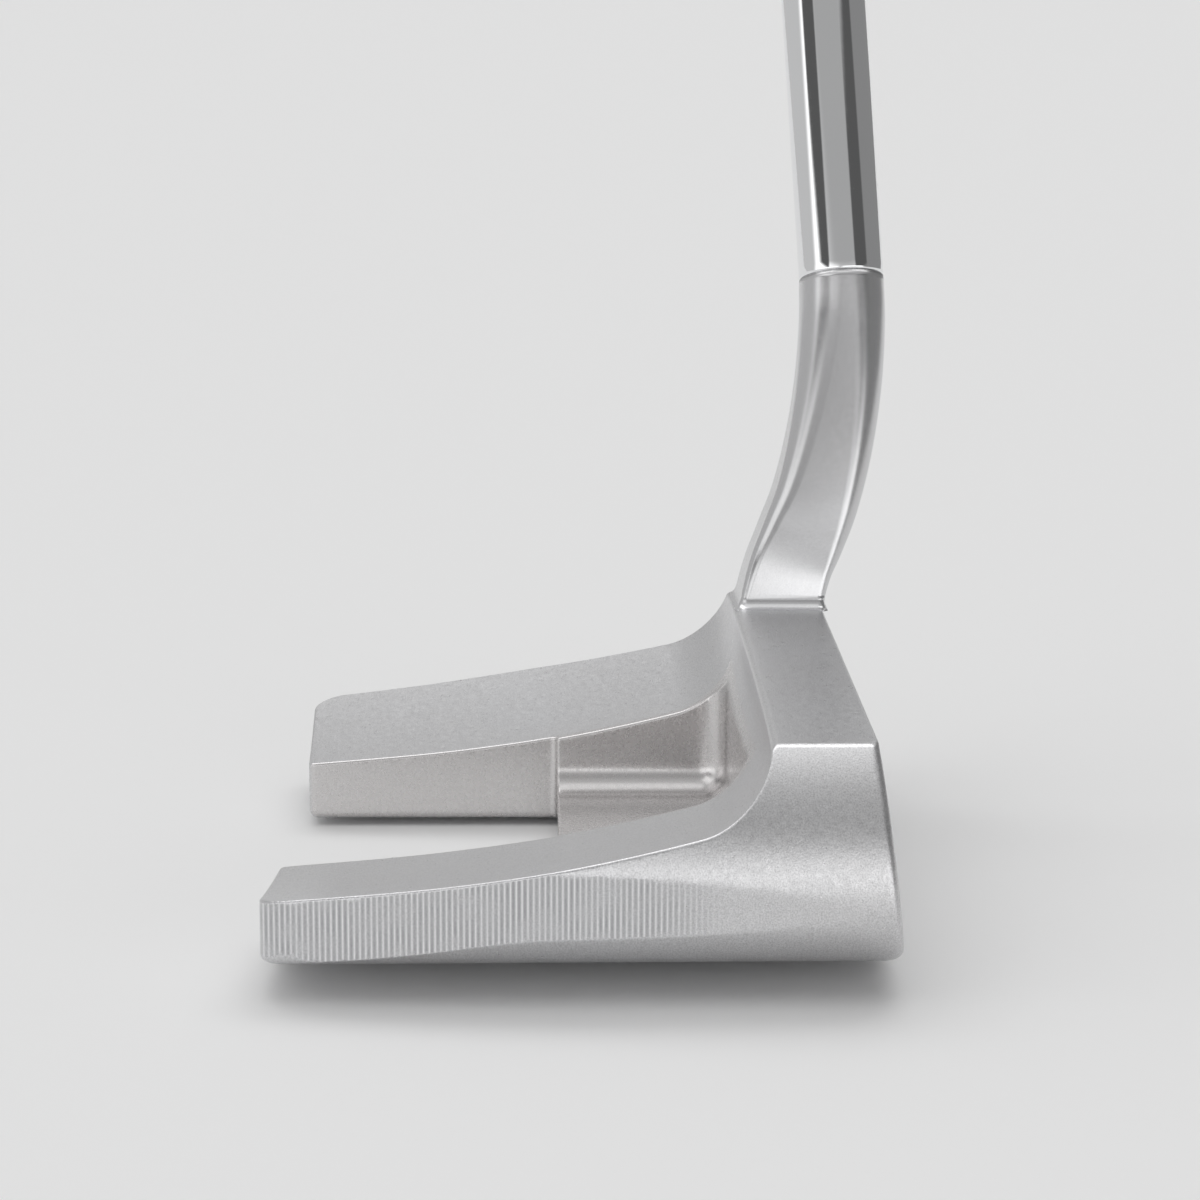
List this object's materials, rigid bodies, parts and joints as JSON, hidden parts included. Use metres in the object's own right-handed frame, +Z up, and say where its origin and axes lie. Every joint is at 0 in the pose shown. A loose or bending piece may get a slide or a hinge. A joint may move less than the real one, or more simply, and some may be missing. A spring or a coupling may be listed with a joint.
{
  "type": "putter",
  "caption": "Golf putter with a twin-wing mid-mallet steel head, a bent flow neck, a stepped steel shaft and a pistol grip.",
  "frame": {"origin": "lowest point of the sole, on the flat land in the middle of the head", "axes": "+Z up, -Y the way the face points (target side), +Y towards the ends of the two wings, +X from toe to heel (towards the golfer)"},
  "size_m": [0.3575, 0.0677, 0.8245],
  "materials": {
    "head_steel": "bead-blasted satin stainless steel with milled side facets",
    "neck_steel": "satin stainless steel",
    "braze": "silver braze, hidden",
    "epoxy": "cured epoxy, hidden",
    "shaft_chrome": "bright chrome-plated steel",
    "tape": "double-sided grip tape, hidden",
    "grip_rubber": "matte black textured rubber",
    "cap_rubber": "matte black rubber"
  },
  "bodies": {
    "root": {"head_body": "head_steel", "flow_neck": "neck_steel", "neck_braze": "braze", "shaft_bond": "epoxy", "shaft": "shaft_chrome", "grip_tape": "tape", "grip": "grip_rubber", "grip_end_cap": "cap_rubber"}
  },
  "joints": []
}
